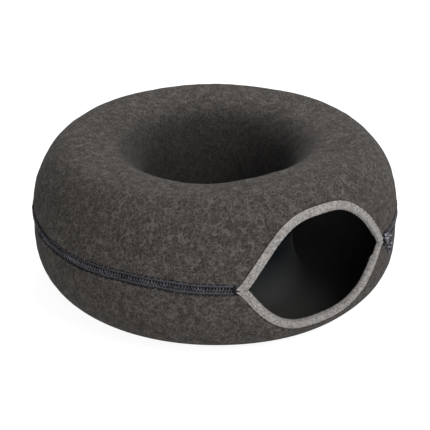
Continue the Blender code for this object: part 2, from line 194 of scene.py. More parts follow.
def bare_face(half, angle, run):
    """The felt's outer face before its unevenness."""
    run = np.clip(run, 0.0, half["long"])
    radius = np.interp(run, half["run"], half["radius"])
    height = np.interp(run, half["run"], half["height"])
    crown = np.interp(run, half["run"], half["crown"])
    sag = np.maximum(
        SAG_RIGHT * hill(angle, BOUND_RIGHT, SAG_REACH), SAG_LEFT * hill(angle, -BOUND_LEFT, SAG_REACH)
    )
    near_zip = np.where(radius > CROWN_R, np.exp(-((height / SAG_FADE) ** 2)), 0.0)
    for middle, reach, rise in ZIP_WAVES:
        sag = sag - rise * hill(angle, math.radians(middle), math.radians(reach))
    outside = np.clip((radius - FOOT_OUT_R) / BULGE_FADE, 0, 1)
    for middle, reach, level, tall, out in BULGES:
        belly = outside * hill(height / tall, level / tall, 1.0)
        radius = radius + out * belly * hill(angle, math.radians(middle), math.radians(reach))
    for middle, reach, rise in LIFTS:
        height = height + rise * crown * hill(angle, math.radians(middle), math.radians(reach))
    height = height - sag * near_zip
    return np.stack(
        [radius * np.sin(angle), ring_y - radius * np.cos(angle), BASE_DROP + height], axis=-1
    )


def facing(half, angle, run):
    """The felt's outward direction, from places a small turn and a small step away."""
    turn = 0.002
    step = 0.0005
    along = bare_face(half, angle + turn, run) - bare_face(half, angle - turn, run)
    up = bare_face(half, angle, run + step) - bare_face(half, angle, np.maximum(run - step, 0.0))
    out = np.cross(along, up) if half is upper else np.cross(up, along)
    return out / np.linalg.norm(out, axis=-1, keepdims=True)


def swell(half, points, run):
    """How far the felt stands out of its mould's shape: soft dents, and puckers along the zip."""
    off_floor = np.clip((points[..., 2] - SMOOTH_TO) / SMOOTH_FADE, 0, 1) ** 2
    dents, lumps, puckers = (
        high * waves(points, seed, *lengths) for high, seed, *lengths in (DENTS, LUMPS, PUCKERS)
    )
    puckers = puckers * np.exp(-run / PUCKERS_FADE)
    well_seam = -WELL_SEAM_DEEP * np.exp(-(((half["long"] - run) / WELL_SEAM_FADE) ** 2))
    return off_floor * (dents + lumps + puckers) + well_seam


def place(half, angle, run, depth):
    """Places in or near the felt. A run under 0 is on the other side of the zip."""
    angle, run, depth = np.broadcast_arrays(angle, run, depth)
    points = np.empty(angle.shape + (3,))
    for side, here in ((half, run >= 0), (half["other"], run < 0)):
        if here.any():
            a, r = angle[here], np.abs(run[here])
            face = bare_face(side, a, r)
            points[here] = face + facing(side, a, r) * (swell(side, face, r) - depth[here])[:, None]
    return points


def outline_run(half, angle, left, right, height, point):
    """Run of a mouth outline at these angles, and 0 beyond its corners."""
    side = np.where(angle > 0, right, left)
    across = np.abs(angle - half["lean"] * (1 - (angle / side) ** 2)) / side
    rise = height * (1 - np.minimum(across, 1) ** MOUTH_FULLNESS) ** point
    return np.where(np.abs(angle) < side, np.interp(rise, half["rise"], half["rise_run"]), 0.0)


def felt_edge(half, angle):
    """Run of the felt's edge: the mouth's cut, or the edge along the zip, which is cut by hand."""
    around = (angle + math.pi) % math.tau - math.pi
    height = CUT_UP if half is upper else CUT_DOWN
    cut = outline_run(half, around, CUT_LEFT, CUT_RIGHT, height, half["cut_point"])
    spot = np.stack([np.sin(angle), np.cos(angle), 0 * angle], axis=-1) * RING_R
    hand = HAND_CUT * waves(spot, 21 if half is upper else 22, *HAND_CUT_WAVES)
    spread = 0.0 if half is upper else SPREAD_DOWN * hill(around, SPREAD_AT, SPREAD_REACH)
    return np.maximum(ZIP_HALF_GAP + hand + spread, cut)


def felt_thickness(run):
    """How thick the felt is: thin along the zip, and full further in."""
    return FELT_THIN + (FELT - FELT_THIN) * np.clip((run - THIN_TO) / (FULL_FROM - THIN_TO), 0, 1)


def lay_grid(name, points, round_along=False, round_across=False, along=None, across=None):
    """A mesh over a grid of points. along and across are the metres of cloth for its weave map."""
    columns, rows = points.shape[:2]
    c, r = np.meshgrid(
        np.arange(columns if round_along else columns - 1),
        np.arange(rows if round_across else rows - 1),
        indexing="ij",
    )
    corners = [(c, r), (c + 1, r), (c + 1, r + 1), (c, r + 1)]
    faces = np.stack([(i % columns) * rows + j % rows for i, j in corners], -1).reshape(-1, 4)
    flat = points.reshape(-1, 3)
    a, b, d, e = (flat[faces[:, k]] for k in range(4))
    volume = (np.cross(b, d) * a).sum() + (np.cross(d, e) * a).sum()
    order = [0, 1, 2, 3] if volume > 0 else [0, 3, 2, 1]
    faces = faces[:, order].tolist()
    if round_across and not round_along:
        ends = [list(range(rows)), list(range((columns - 1) * rows, columns * rows))]
        faces += [ends[0][::-1], ends[1]] if volume < 0 else [ends[0], ends[1][::-1]]
    mesh = bpy.data.meshes.new(name)
    mesh.from_pydata(flat.tolist(), [], faces)
    if along is not None:
        spots = np.stack([(along[i], across[j]) for i, j in corners], 0)
        spots = spots.transpose(2, 3, 0, 1).reshape(-1, 4, 2)[:, order].reshape(-1, 2)
        weave = np.zeros((len(mesh.loops), 2))
        weave[: len(spots)] = spots
        mesh.uv_layers.new(name="weave").data.foreach_set("uv", weave.ravel())
    mesh.shade_smooth()
    piece = bpy.data.objects.new(name, mesh)
    bpy.context.scene.collection.objects.link(piece)
    return piece


MOUTH_ZONE = math.radians(36)
MOUTH_COLUMNS = 144
BACK_COLUMNS = 380
OUTER_ROWS = 84
RIM_ROWS = 9
INNER_ROWS = 38
CLOSER_OUTSIDE = 1.12
CLOSER_INSIDE = 1.5
# The rounded edge in the well's seam.
SEAM_STEPS = np.array([[0.0, 0.0003, 0.0009, 0.0020, 0.0038]])
SEAM_ROUND = 0.0012
SEAM_ROUND_DEEP = 0.0011
FACE_FROM_SEAM = 0.0062
FACE_FROM_RIM = 0.0034
# The groove that the binding's outer edge presses into the felt.
RIM_WIDE = 0.0100
RIM_IN = 0.0010
PRESS_STEPS = np.array([[0.0024, 0.0014, 0.0008, 0.0003, -0.0003]])
PRESS_DEPTHS = np.array([[0.0, 0.00035, 0.0010, 0.0010, 0.0004]])
PRESS_FADE = 0.006
# The rounded lip along the zip and the mouth.
LIP_TURNS = np.radians([[20, 45, 70]])
LIP_ROUND = 0.0011
LIP_PARTS = 2.2

angles = np.concatenate(
    (
        np.linspace(-MOUTH_ZONE, MOUTH_ZONE, MOUTH_COLUMNS + 1),
        np.linspace(MOUTH_ZONE, math.tau - MOUTH_ZONE, BACK_COLUMNS + 1)[1:-1],
    )
)


def felt_half(name, half):
    """One felt half: outer face, rounded edge, inner face and the edge in the well's seam.

    The felt is pressed in along the outer edge of the mouth's binding.
    """
    edge = felt_edge(half, angles)[:, None]
    around = (angles + math.pi) % math.tau - math.pi
    height = BOUND_UP if half is upper else BOUND_DOWN
    bound = outline_run(half, around, BOUND_LEFT, BOUND_RIGHT, height, half["point"])[:, None]
    end = half["long"] - SEAM_HALF_GAP
    thin_edge = felt_thickness(edge)
    round_off = np.minimum(LIP_ROUND, thin_edge / LIP_PARTS)
    seam_depth = SEAM_ROUND_DEEP * (1 - np.sqrt(1 - (1 - np.minimum(SEAM_STEPS / SEAM_ROUND, 1)) ** 2))
    face = np.linspace(1, 0, OUTER_ROWS)[None] ** CLOSER_OUTSIDE
    rim = np.maximum(bound, edge + RIM_WIDE)
    under = np.linspace(1, 0, RIM_ROWS)[None]
    outer_run = np.concatenate(
        (
            end - SEAM_STEPS + 0 * edge,
            rim + FACE_FROM_RIM + (end - FACE_FROM_SEAM - rim - FACE_FROM_RIM) * face,
            rim + PRESS_STEPS,
            edge + round_off + (rim - RIM_IN - edge - round_off) * under,
        ),
        1,
    )
    outer_depth = np.concatenate(
        (
            seam_depth + 0 * edge,
            0 * edge + 0 * face,
            PRESS_DEPTHS * np.clip(bound / PRESS_FADE, 0, 1),
            0 * edge + 0 * under,
        ),
        1,
    )
    lip_run = edge + round_off * (1 - np.sin(LIP_TURNS))
    lip_depth = round_off * (1 - np.cos(LIP_TURNS))
    back_run = lip_run[:, ::-1]
    back_depth = (thin_edge - lip_depth)[:, ::-1]
    inner = np.linspace(0, 1, INNER_ROWS)[None] ** CLOSER_INSIDE
    inner_run = edge + round_off + (end - edge - round_off) * inner
    run = np.concatenate((outer_run, lip_run, back_run, inner_run), 1)
    depth = np.concatenate((outer_depth, lip_depth, back_depth, felt_thickness(inner_run)), 1)
    points = place(half, angles[:, None], run, depth)
    return lay_grid(name, points, round_along=True, round_across=True)


def shader_node(tree, kind, inputs=(), **settings):
    """A new node with these settings, and values or links at its inputs."""
    made = tree.nodes.new(kind)
    for name, value in settings.items():
        setattr(made, name, value)
    for name, value in dict(inputs).items():
        if isinstance(value, bpy.types.NodeSocket):
            tree.links.new(value, made.inputs[name])
        else:
            made.inputs[name].default_value = value
    return made


def sum_up(tree, operation, first, second=0.0, third=0.0):
    """The outcome of one Math node."""
    made = shader_node(tree, "ShaderNodeMath", {0: first, 1: second, 2: third}, operation=operation)
    return made.outputs[0]


def share_between(tree, value, low, high):
    """How far a value is on its way from low to high, from 0 to 1."""
    made = shader_node(tree, "ShaderNodeMapRange", {"Value": value, "From Min": low, "From Max": high})
    return made.outputs[0]


def new_group(name, inputs, outputs):
    """An empty node group, and its input and output nodes."""
    group = bpy.data.node_groups.new(name, "ShaderNodeTree")
    for title, value in inputs.items():
        kind = "NodeSocketVector" if value is None else "NodeSocketFloat"
        socket = group.interface.new_socket(name=title, in_out="INPUT", socket_type=kind)
        if value is not None:
            socket.default_value = value
    for title in outputs:
        group.interface.new_socket(name=title, in_out="OUTPUT", socket_type="NodeSocketFloat")
    return group, group.nodes.new("NodeGroupInput").outputs, group.nodes.new("NodeGroupOutput")


def use_group(tree, group, inputs):
    """One use of a node group, with its own values."""
    return shader_node(tree, "ShaderNodeGroup", inputs, node_tree=group).outputs


# Curled hairs: thin broken lines where a soft noise passes through its middle value.
HAIR_TWIST = 0.35
HAIR_BROKEN_TO = 0.47
HAIR_WHOLE_FROM = 0.56

hairs, given, out = new_group(
    "curled_hairs",
    {"Place": None, "Shift": 0.0, "Curls per Metre": 120.0, "Width": 0.05, "Breaks per Metre": 90.0},
    ("Hair",),
)
shifted = shader_node(hairs, "ShaderNodeVectorMath", {0: given["Place"], 1: given["Shift"]}).outputs[0]
curl = shader_node(
    hairs,
    "ShaderNodeTexNoise",
    {"Vector": shifted, "Scale": given["Curls per Metre"], "Detail": 0.0, "Distortion": HAIR_TWIST},
).outputs[0]
off_line = sum_up(hairs, "ABSOLUTE", sum_up(hairs, "SUBTRACT", curl, 0.5))
line = sum_up(hairs, "SUBTRACT", 1.0, sum_up(hairs, "DIVIDE", off_line, given["Width"]))
line = sum_up(hairs, "MAXIMUM", line, 0.0)
gate = shader_node(
    hairs,
    "ShaderNodeTexNoise",
    {"Vector": given["Place"], "Scale": given["Breaks per Metre"], "Detail": 1.0},
).outputs[0]
whole = share_between(hairs, gate, HAIR_BROKEN_TO, HAIR_WHOLE_FROM)
hairs.links.new(sum_up(hairs, "MULTIPLY", line, whole), out.inputs["Hair"])

# Mottle: felt and yarn are never of one shade. Patches, clumps, tufts and specks, each around 0.
mottle, given, out = new_group(
    "mottle",
    {
        "Place": None,
        "Patches": 0.2,
        "Clumps": 0.0,
        "Tufts": 0.6,
        "Specks": 0.6,
        "Tufts per Metre": 330.0,
    },
    ("Shade",),
)
shade = None
for strength, per_metre, detail in (
    (given["Patches"], 28.0, 2.0),
    (given["Clumps"], 110.0, 1.0),
    (given["Tufts"], given["Tufts per Metre"], 2.0),
    (given["Specks"], 950.0, 1.0),
):
    noise = shader_node(
        mottle, "ShaderNodeTexNoise", {"Vector": given["Place"], "Scale": per_metre, "Detail": detail}
    ).outputs[0]
    part = sum_up(mottle, "MULTIPLY", sum_up(mottle, "SUBTRACT", noise, 0.5), strength)
    shade = part if shade is None else sum_up(mottle, "ADD", shade, part)
mottle.links.new(shade, out.inputs["Shade"])


def mottled(tree, spot, **strengths):
    """The mottle's shade at a place. Spaces in the names of its strengths are underscores."""
    inputs = {title.replace("_", " "): value for title, value in strengths.items()}
    return use_group(tree, mottle, {"Place": spot, **inputs})["Shade"]


def mixed_colour(tree, share, first, second):
    """A colour between two others."""
    made = shader_node(tree, "ShaderNodeMix", data_type="RGBA")
    for socket, value in zip((made.inputs[0], made.inputs[6], made.inputs[7]), (share, first, second)):
        if isinstance(value, bpy.types.NodeSocket):
            tree.links.new(value, socket)
        else:
            socket.default_value = value if isinstance(value, float) else (*value, 1.0)
    return made.outputs[2]


def add_bump(tree, shader, height, strength, distance):
    """Roughens a finish by a height that is about 1 from valley to peak."""
    inputs = {"Height": height, "Strength": strength, "Distance": distance}
    bump = shader_node(tree, "ShaderNodeBump", inputs)
    tree.links.new(bump.outputs[0], shader.inputs["Normal"])


def new_finish(name, **sockets):
    """A material, its tree, its Principled shader and its place in the object's own metres."""
    finish = bpy.data.materials.new(name)
    finish.use_nodes = True
    tree = finish.node_tree
    shader = tree.nodes["Principled BSDF"]
    for title, value in sockets.items():
        shader.inputs[title.replace("_", " ")].default_value = value
    return finish, tree, shader, tree.nodes.new("ShaderNodeTexCoord").outputs["Object"]


FELT_DARK = (0.0200, 0.0174, 0.0150)
FELT_LIGHT = (0.1800, 0.1590, 0.1446)
FELT_HAIR = (0.235, 0.211, 0.195)
SHADE_REACH = 0.48
LIGHT_POWER = 1.9
# Each layer of hairs: shift, curls per metre, width, and breaks per metre.
HAIR_LAYERS = (
    (0.0, 130.0, 0.050, 90.0),
    (1.7, 190.0, 0.055, 130.0),
    (3.1, 280.0, 0.060, 170.0),
    (5.3, 80.0, 0.042, 75.0),
    (7.7, 115.0, 0.050, 90.0),
)
HAIR_SHARE = 0.55
HAIR_LOST = 0.87
HAIR_RELIEF = 0.35
# Where the felt is pressed smooth, its colour is painted with light and shade: a painted lit colour on
# the tunnel's floor and a painted dark shade higher up inside and in the well, and their share.
FELT_PAINTED_FLOOR_LIGHT = (0.067, 0.068, 0.067)
FELT_PAINTED_SHADE = (0.010, 0.015, 0.020)
PRESSED_SHADED_WELL = 0.38
PRESSED_SHADED_INSIDE = 0.66
PRESSED_SHADED_FROM = 0.150
PRESSED_SHADED_ALL = 0.112
PAINTED_LIGHT_TO = 0.020
PAINTED_DARK_FROM = 0.062

felt_finish, tree, shader, spot = new_finish(
    "charcoal_felt", Roughness=0.95, Specular_IOR_Level=0.1, Sheen_Weight=0.06, Sheen_Roughness=0.5
)
shade = mottled(
    tree, spot, Patches=0.20, Clumps=0.19, Tufts=0.72, Specks=0.46, Tufts_per_Metre=350.0
)
long_hairs = None
for layer in HAIR_LAYERS:
    inputs = dict(zip(("Shift", "Curls per Metre", "Width", "Breaks per Metre"), layer))
    hair = use_group(tree, hairs, {"Place": spot, **inputs})["Hair"]
    long_hairs = hair if long_hairs is None else sum_up(tree, "MAXIMUM", long_hairs, hair)
ground = share_between(tree, shade, -SHADE_REACH, SHADE_REACH)
colour = mixed_colour(tree, sum_up(tree, "POWER", ground, LIGHT_POWER), FELT_DARK, FELT_LIGHT)
pressed_and_shaded = shader_node(tree, "ShaderNodeAttribute", attribute_name="pressed_and_shaded").outputs["Fac"]
loose = sum_up(tree, "MULTIPLY_ADD", pressed_and_shaded, -HAIR_LOST, HAIR_SHARE)
colour = mixed_colour(tree, sum_up(tree, "MULTIPLY", long_hairs, loose), colour, FELT_HAIR)
# Painted light and shade: inside the tunnel and in the well the colour runs from a painted lit grey on
# the floor to a painted dark shade higher up.
level = shader_node(tree, "ShaderNodeSeparateXYZ", {0: spot}).outputs["Z"]
painted_shade = mixed_colour(tree, share_between(tree, level, PAINTED_LIGHT_TO, PAINTED_DARK_FROM), FELT_PAINTED_FLOOR_LIGHT, FELT_PAINTED_SHADE)
tree.links.new(mixed_colour(tree, pressed_and_shaded, colour, painted_shade), shader.inputs["Base Color"])
relief = sum_up(tree, "ADD", sum_up(tree, "MULTIPLY", long_hairs, HAIR_RELIEF), shade)
add_bump(tree, shader, relief, strength=0.36, distance=0.0011)


def mark_pressed_and_shaded(piece):
    """Marks the felt's inside and its well, where the mould pressed it smooth and its colour is painted
    into shade.
    """
    face_rows = SEAM_STEPS.size + OUTER_ROWS + PRESS_STEPS.size + RIM_ROWS + LIP_TURNS.size
    inside = np.arange(face_rows + LIP_TURNS.size + INNER_ROWS) >= face_rows
    points = np.empty(len(piece.data.vertices) * 3)
    piece.data.vertices.foreach_get("co", points)
    x, y = points.reshape(-1, 3)[:, :2].T
    # This share is also how much painted shade darkens the felt, most inside the tunnel and in the
    # well.
    share = np.clip((PRESSED_SHADED_FROM - np.hypot(x, y - ring_y)) / (PRESSED_SHADED_FROM - PRESSED_SHADED_ALL), 0, 1)
    well = share**2 * (3 - 2 * share)
    behind = PRESSED_SHADED_INSIDE + (1 - PRESSED_SHADED_INSIDE) * well
    share = np.where(np.tile(inside, len(x) // inside.size), behind, PRESSED_SHADED_WELL * well)
    piece.data.attributes.new("pressed_and_shaded", "FLOAT", "POINT").data.foreach_set("value", share)


upper_felt = felt_half("felt_upper_half", upper)
lower_felt = felt_half("felt_lower_half", lower)
for piece, node in ((upper_felt, "upper_shell"), (lower_felt, "lower_shell")):
    mark_pressed_and_shaded(piece)
    piece.data.materials.append(felt_finish)
    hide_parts(node)
    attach(piece, "root")


# The zip's two tapes. Each is woven polyester, 16 mm wide, sewn behind the thin felt edge, and shows
# as a narrow slate-grey strip between the felt and the coil. They part at the slider.

TAPE = 0.0010
TAPE_WIDE = 0.016
TAPE_DEPTH = 0.0022
TAPE_GROOVE = 0.0029
TAPE_RAISED = 0.0010
TAPE_SPLIT = 0.0004
TAPE_PARTED = 0.0018
TAPE_PARTED_WIDEST = 0.0050
TAPE_END_LEFT = math.radians(25.6)
TAPE_END_RIGHT = math.radians(25.95)
COIL_HALF = 0.0030
SLIDER_AT = math.radians(30.1)
POST_BACK = 0.0032
TAPE_STATIONS = 460
# The tape's section, first its face and then its back: run from the zip's middle, and depth.
TAPE_SECTION = np.array(
    [
        (0.0, TAPE_RAISED + 0.0002),
        (0.0004, TAPE_RAISED),
        (COIL_HALF - 0.0004, TAPE_RAISED),
        (COIL_HALF + 0.0004, TAPE_RAISED + 0.00015),
        (ZIP_HALF_GAP - 0.0022, TAPE_RAISED + 0.0006),
        (ZIP_HALF_GAP - 0.0012, TAPE_GROOVE - 0.0004),
        (ZIP_HALF_GAP - 0.0002, TAPE_GROOVE),
        (0.0100, TAPE_GROOVE),
        (0.0130, TAPE_DEPTH),
        (TAPE_WIDE, TAPE_DEPTH),
        (TAPE_WIDE, TAPE_DEPTH + TAPE),
        (0.0132, TAPE_DEPTH + TAPE),
        (0.0102, TAPE_GROOVE + TAPE),
        (ZIP_HALF_GAP - 0.0004, TAPE_GROOVE + TAPE),
        (ZIP_HALF_GAP - 0.0022, TAPE_RAISED + TAPE + 0.0010),
        (COIL_HALF + 0.0001, TAPE_RAISED + TAPE + 0.0002),
        (COIL_HALF - 0.0004, TAPE_RAISED + TAPE),
        (0.0, TAPE_RAISED + TAPE),
    ]
)
TAPE_EDGE = 0.0004

# Woven ribs: ribs along the tape and picks across it. The height is about 0 between them and 1 on top.
WOVEN_SCALE = 0.33
WOVEN_MIDDLE = 0.5

woven, given, out = new_group(
    "woven_ribs",
    {"Map": None, "Rib Pitch": 0.0010, "Pick Pitch": 0.0007, "Pick Share": 0.5},
    ("Height",),
)
sides = shader_node(woven, "ShaderNodeSeparateXYZ", {0: given["Map"]}).outputs
rib = sum_up(woven, "MULTIPLY", sum_up(woven, "DIVIDE", sides["Y"], given["Rib Pitch"]), math.tau)
pick = sum_up(woven, "MULTIPLY", sum_up(woven, "DIVIDE", sides["X"], given["Pick Pitch"]), math.tau)
pick = sum_up(woven, "MULTIPLY", sum_up(woven, "SINE", pick), given["Pick Share"])
pick = sum_up(woven, "MULTIPLY", pick, sum_up(woven, "COSINE", rib))
height = sum_up(woven, "ADD", sum_up(woven, "SINE", rib), pick)
height = sum_up(woven, "MULTIPLY_ADD", height, WOVEN_SCALE, WOVEN_MIDDLE)
woven.links.new(height, out.inputs["Height"])

TAPE_DARK = (0.055, 0.055, 0.067)
TAPE_LIGHT = (0.225, 0.220, 0.258)
# A near-black stripe of painted shade under the coil, so that the gaps between its loops read as
# shadow.
TAPE_PAINTED_SHADE = (0.0045, 0.0045, 0.0065)
TAPE_MOTTLE = 0.9
PAINTED_SHADE_TO = 0.0034
UNSHADED_FROM = 0.0044

tape_finish, tree, shader, spot = new_finish(
    "slate_zip_tape", Roughness=0.8, Specular_IOR_Level=0.3, Sheen_Weight=0.15, Sheen_Roughness=0.4
)
weave_map = shader_node(tree, "ShaderNodeUVMap", uv_map="weave").outputs[0]
ribs = use_group(
    tree, woven, {"Map": weave_map, "Rib Pitch": 0.0012, "Pick Pitch": 0.0009, "Pick Share": 0.8}
)
shade = mottled(tree, spot, Patches=0.3, Tufts=0.5, Specks=0.8)
ground = sum_up(tree, "ADD", ribs["Height"], sum_up(tree, "MULTIPLY", shade, TAPE_MOTTLE))
across_tape = shader_node(tree, "ShaderNodeSeparateXYZ", {0: weave_map}).outputs["Y"]
# Painted shade: the tape turns near black under the coil and fades to its own grey beside it.
out_of_painted_shade = share_between(tree, across_tape, PAINTED_SHADE_TO, UNSHADED_FROM)
cloth = mixed_colour(tree, ground, TAPE_DARK, TAPE_LIGHT)
tree.links.new(mixed_colour(tree, out_of_painted_shade, TAPE_PAINTED_SHADE, cloth), shader.inputs["Base Color"])
add_bump(tree, shader, ribs["Height"], strength=0.8, distance=0.0004)

tape_angles = np.linspace(TAPE_END_RIGHT, math.tau - TAPE_END_LEFT, TAPE_STATIONS)
tape_along = (tape_angles - tape_angles[0]) * RING_R
parting = SLIDER_AT - POST_BACK / RING_R
open_share = np.clip((parting - tape_angles) / (parting - TAPE_END_RIGHT), 0, 1)
split = np.where(tape_angles < parting, TAPE_PARTED, TAPE_SPLIT)
split = (split + (TAPE_PARTED_WIDEST - TAPE_PARTED) * open_share)[:, None]
tape_run, tape_depth = TAPE_SECTION.T
across = np.concatenate(([0.0], np.cumsum(np.hypot(np.diff(tape_run), np.diff(tape_depth)))))
across = np.append(across, across[-1] + TAPE_EDGE)
for name, node, side, felt in (
    ("zip_tape_upper_woven", "zip_tape_upper", 1, "felt_upper_half"),
    ("zip_tape_lower_woven", "zip_tape_lower", -1, "felt_lower_half"),
):
    run = side * np.maximum(tape_run[None], split)
    points = place(upper, tape_angles[:, None], run, tape_depth[None])
    tape = lay_grid(name, points, round_across=True, along=tape_along, across=across)
    tape.data.materials.append(tape_finish)
    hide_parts(node)
    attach(tape, "root")


# The zip's coils. Each is a nylon thread wound into flat loops, a little coarser here than on a real
# zip. The loops' heads lock between the other coil's, and their backs are sewn to the tape.

COIL_END_LEFT = math.radians(28.5)
COIL_PITCH = 0.0039
COIL_THREAD_R = 0.00066
COIL_LEAD = 0.0006
# One loop: share of a turn, run and depth. It dips under the tape's face between two turns.
COIL_LOOP = np.array(
    [
        (-0.30, 0.0032, 0.0008),
        (-0.23, 0.0034, -0.0003),
        (-0.16, 0.0030, -0.0010),
        (-0.07, 0.0018, -0.0012),
        (0.02, 0.0005, -0.0012),
        (0.08, -0.0005, -0.0008),
        (0.13, -0.0005, 0.0004),
        (0.22, 0.0005, 0.0017),
        (0.40, 0.0019, 0.0019),
        (0.58, 0.0030, 0.0018),
    ]
)
COIL_UNEVEN = np.array([[0.05, 0.00010, 0.00007]])
COIL_DARK = (0.016, 0.016, 0.023)
COIL_LIGHT_GLINTS = (0.175, 0.172, 0.210)
COIL_SHADE_REACH = 0.28
THREAD_SIDES = 6
# Under this sine of the angle between them, a thread counts as running along the ring.
ALONG_RING = 0.3

coil_finish, tree, shader, spot = new_finish("dark_nylon", Roughness=0.34, Specular_IOR_Level=0.6)
# The nylon's mottle is partly random tone and partly painted glints on its loops.
shade = mottled(tree, spot, Patches=0.5, Clumps=0.9, Tufts=1.0, Specks=0.3)
ground = share_between(tree, shade, -COIL_SHADE_REACH, COIL_SHADE_REACH)
tree.links.new(mixed_colour(tree, ground, COIL_DARK, COIL_LIGHT_GLINTS), shader.inputs["Base Color"])


def thread_along(name, places, radius):
    """A thread through places given as (angle, run, depth), which never twists round the ring."""
    centres = place(upper, places[:, 0], places[:, 1], places[:, 2])
    heading = np.gradient(centres, axis=0)
    heading /= np.linalg.norm(heading, axis=1, keepdims=True)
    round_ring = np.stack([np.cos(places[:, 0]), np.sin(places[:, 0]), 0 * places[:, 0]], 1)
    cross = np.cross(heading, round_ring)
    outward = facing(upper, places[:, 0], np.abs(places[:, 1]))
    across_ring = np.linalg.norm(cross, axis=1, keepdims=True) > ALONG_RING
    cross = np.where(across_ring, cross, np.cross(heading, outward))
    cross /= np.linalg.norm(cross, axis=1, keepdims=True)
    third = np.cross(heading, cross)
    turn = np.arange(THREAD_SIDES) * math.tau / THREAD_SIDES
    ring = cross[:, None] * np.cos(turn)[None, :, None] + third[:, None] * np.sin(turn)[None, :, None]
    return lay_grid(name, centres[:, None] + ring * radius, round_across=True)


coil_start = SLIDER_AT - (POST_BACK - COIL_LEAD) / RING_R
turns = int((math.tau - COIL_END_LEFT - coil_start) * RING_R / COIL_PITCH)
turns_off = np.random.default_rng(31)
for name, side, start in (("zip_coil_upper", 1, 0.0), ("zip_coil_lower", -1, 0.5)):
    wobble = turns_off.normal(size=(turns, 1)) * COIL_UNEVEN
    turn_at = np.arange(turns)[:, None] + start
    along = turn_at + COIL_LOOP[None, :, 0] + wobble[:, :1]
    run = side * (COIL_LOOP[None, :, 1] + wobble[:, 1:2])
    depth = COIL_LOOP[None, :, 2] + wobble[:, 2:3]
    places = np.stack([coil_start + along * COIL_PITCH / RING_R, run, depth], -1)
    coil = thread_along(name, places.reshape(-1, 3), COIL_THREAD_R)
    coil.data.materials.append(coil_finish)
    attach(coil, "root")
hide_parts("zip_coil")


# The seams that hold the tapes to the felt. Each is a row of long stitches in black thread close to the
# felt's edge, sunk a little into it. The thread's near-black colour is partly painted shade, for the
# shadow in the gap along the felt's edge. A bar tack closes them at the mouth's left corner.

SEAM_FROM = math.radians(28.4)
SEAM_TO = math.radians(29.2)
STITCH_PITCH = 0.0082
STITCH_R = 0.00072
STITCH_IN = 0.0008
STITCH_UNEVEN = 0.06
# One stitch: share of its length, and depth. Between two stitches the thread runs inside the felt.
STITCH = np.array(
    [
        (-0.36, 0.0014),
        (-0.31, 0.0001),
        (-0.20, -0.0004),
        (0.00, -0.0005),
        (0.20, -0.0004),
        (0.31, 0.0001),
        (0.36, 0.0014),
        (0.50, 0.0016),
    ]
)
TACK_HALF = 0.0068
TACK_OFF = 0.0008
TACK_R = 0.0004
TACK_PASSES = 7
TACK_PASS_WIDE = 0.00042
TACK_UNDER = 0.0012
TACK_UNDER_FROM = TACK_HALF * 0.9
TACK_PROUD = 0.0008
TACK_THERE_AND_BACK = (-0.5, -0.17, 0.17, 0.5, 0.5, 0.17, -0.17, -0.5)
THREAD_SHADE_DARK = (0.002, 0.002, 0.004)
THREAD_SHADE_LIGHT = (0.016, 0.016, 0.024)
THREAD_MOTTLE = 1.2
THREAD_SHADE = 0.5

# Painted shade: the thread's near-black colour stands for the shadow along the felt's edge and at the
# mouth's left corner.
shade_thread_finish, tree, shader, spot = new_finish("black_thread_painted_shade", Roughness=0.6, Specular_IOR_Level=0.3)
shade = mottled(tree, spot, Patches=0.4, Tufts=0.8, Specks=0.8)
ground = sum_up(tree, "MULTIPLY_ADD", shade, THREAD_MOTTLE, THREAD_SHADE)
tree.links.new(mixed_colour(tree, ground, THREAD_SHADE_DARK, THREAD_SHADE_LIGHT), shader.inputs["Base Color"])

stitches = int((math.tau - SEAM_TO - SEAM_FROM) * RING_R / STITCH_PITCH)
for name, side, half in (("zip_seam_upper", 1, upper), ("zip_seam_lower", -1, lower)):
    uneven = turns_off.normal(size=(stitches, 1)) * STITCH_UNEVEN
    along = np.arange(stitches)[:, None] + 0.5 + STITCH[None, :, 0] * (1 + uneven)
    angle = (SEAM_FROM + along * STITCH_PITCH / RING_R).ravel()
    run = side * (felt_edge(half, angle) + STITCH_IN)
    depth = np.broadcast_to(STITCH[None, :, 1], along.shape).ravel()
    seam = thread_along(name, np.stack([angle, run, depth], -1), STITCH_R)
    seam.data.materials.append(shade_thread_finish)
    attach(seam, "root")
tack_at = math.tau - BOUND_LEFT - TACK_OFF / RING_R
tack_pass = np.repeat(np.arange(TACK_PASSES), len(TACK_THERE_AND_BACK) // 2)
angle = tack_at + (tack_pass - TACK_PASSES / 2) * TACK_PASS_WIDE / RING_R
run = np.tile(TACK_THERE_AND_BACK, TACK_PASSES)[: tack_pass.size] * 2 * TACK_HALF
depth = np.where(np.abs(run) > TACK_UNDER_FROM, TACK_UNDER, -TACK_PROUD)
tack = thread_along("zip_bar_tack_left", np.stack([angle, run, depth], -1), TACK_R)
tack.data.materials.append(shade_thread_finish)
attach(tack, "root")


# The slider and its pull are die-cast zinc with a dark plating, mottled in random tone and with painted
# glints and painted shade. The slider's cover and back plate hold the coils between them, and the pull
# hangs from the bridge on the cover.

